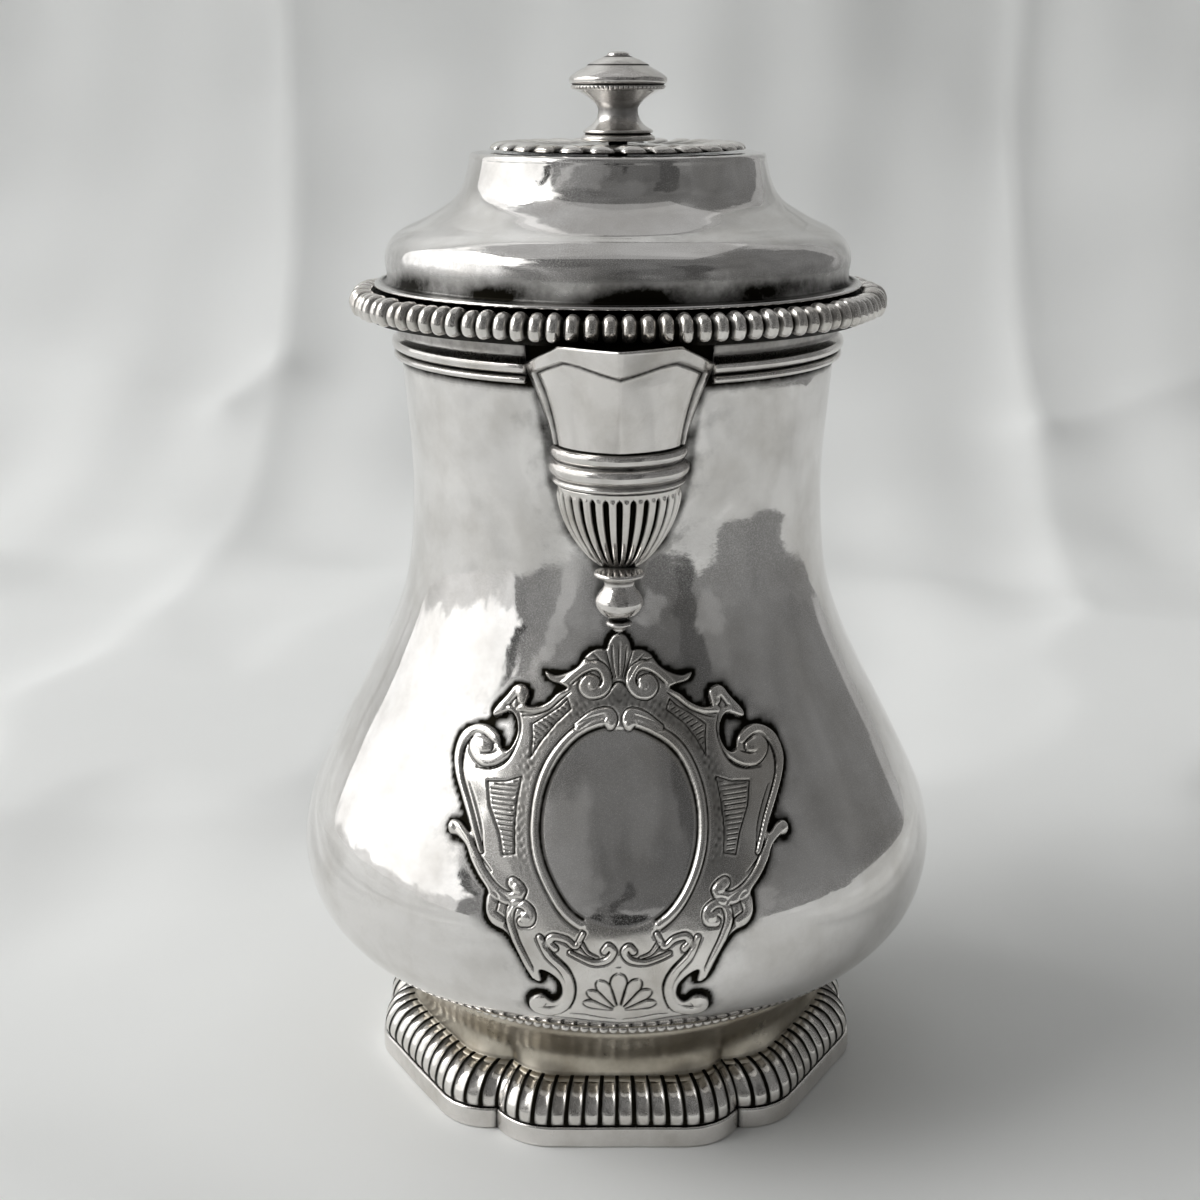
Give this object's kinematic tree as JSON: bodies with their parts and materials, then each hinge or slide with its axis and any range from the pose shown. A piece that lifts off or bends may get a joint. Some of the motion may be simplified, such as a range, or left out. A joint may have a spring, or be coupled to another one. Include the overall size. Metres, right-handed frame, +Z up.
{
  "type": "coffee pot",
  "caption": "Pear-shaped silver coffee pot on a lobed gadrooned foot, with a beak spout, applied cartouche, hinged domed lid with knob and a wooden handle at the back.",
  "frame": {"origin": "centre of the whole object's footprint box on the plane it stands on; the pot's round axis is 15.65 mm in front of it", "axes": "+Z up, spout towards -Y, handle and lid hinge towards +Y"},
  "size_m": [0.1268, 0.1607, 0.2],
  "materials": {
    "polished_silver": "hand-polished sterling silver, softly uneven",
    "chased_silver": "cast and chased silver with dark tarnish in the recesses",
    "silver_wire": "drawn silver, lightly worn",
    "dark_fruitwood": "waxed dark fruitwood"
  },
  "bodies": {
    "pot": {"body_shell": "polished_silver", "neck_moulding": "polished_silver", "spout_lip": "polished_silver", "spout_band": "polished_silver", "spout_drop": "polished_silver", "foot_plinth": "polished_silver", "foot_collar": "polished_silver", "handle_upper_socket": "polished_silver", "handle_lower_socket": "polished_silver", "hinge_bracket": "polished_silver", "spout_cup": "chased_silver", "cartouche": "chased_silver", "bead_ring": "chased_silver", "foot_gadroon_border": "chased_silver", "handle_upper_plate": "chased_silver", "handle_lower_plate": "chased_silver", "handle_upper_pin": "silver_wire", "handle_lower_pin": "silver_wire", "hinge_pin": "silver_wire", "handle": "dark_fruitwood"},
    "lid": {"lid_dome": "polished_silver", "lid_gadroon_ring": "chased_silver", "lid_bezel": "polished_silver", "rosette": "chased_silver", "finial": "polished_silver", "finial_washer": "silver_wire", "finial_nut": "silver_wire", "hinge_leaf": "polished_silver"}
  },
  "joints": [
    {"name": "lid_hinge", "type": "hinge", "parent": "pot", "child": "lid", "pos_m": [0, 0.03885, 0.1513], "axis": [-1, 0, 0], "range_deg": [0, 105]}
  ]
}
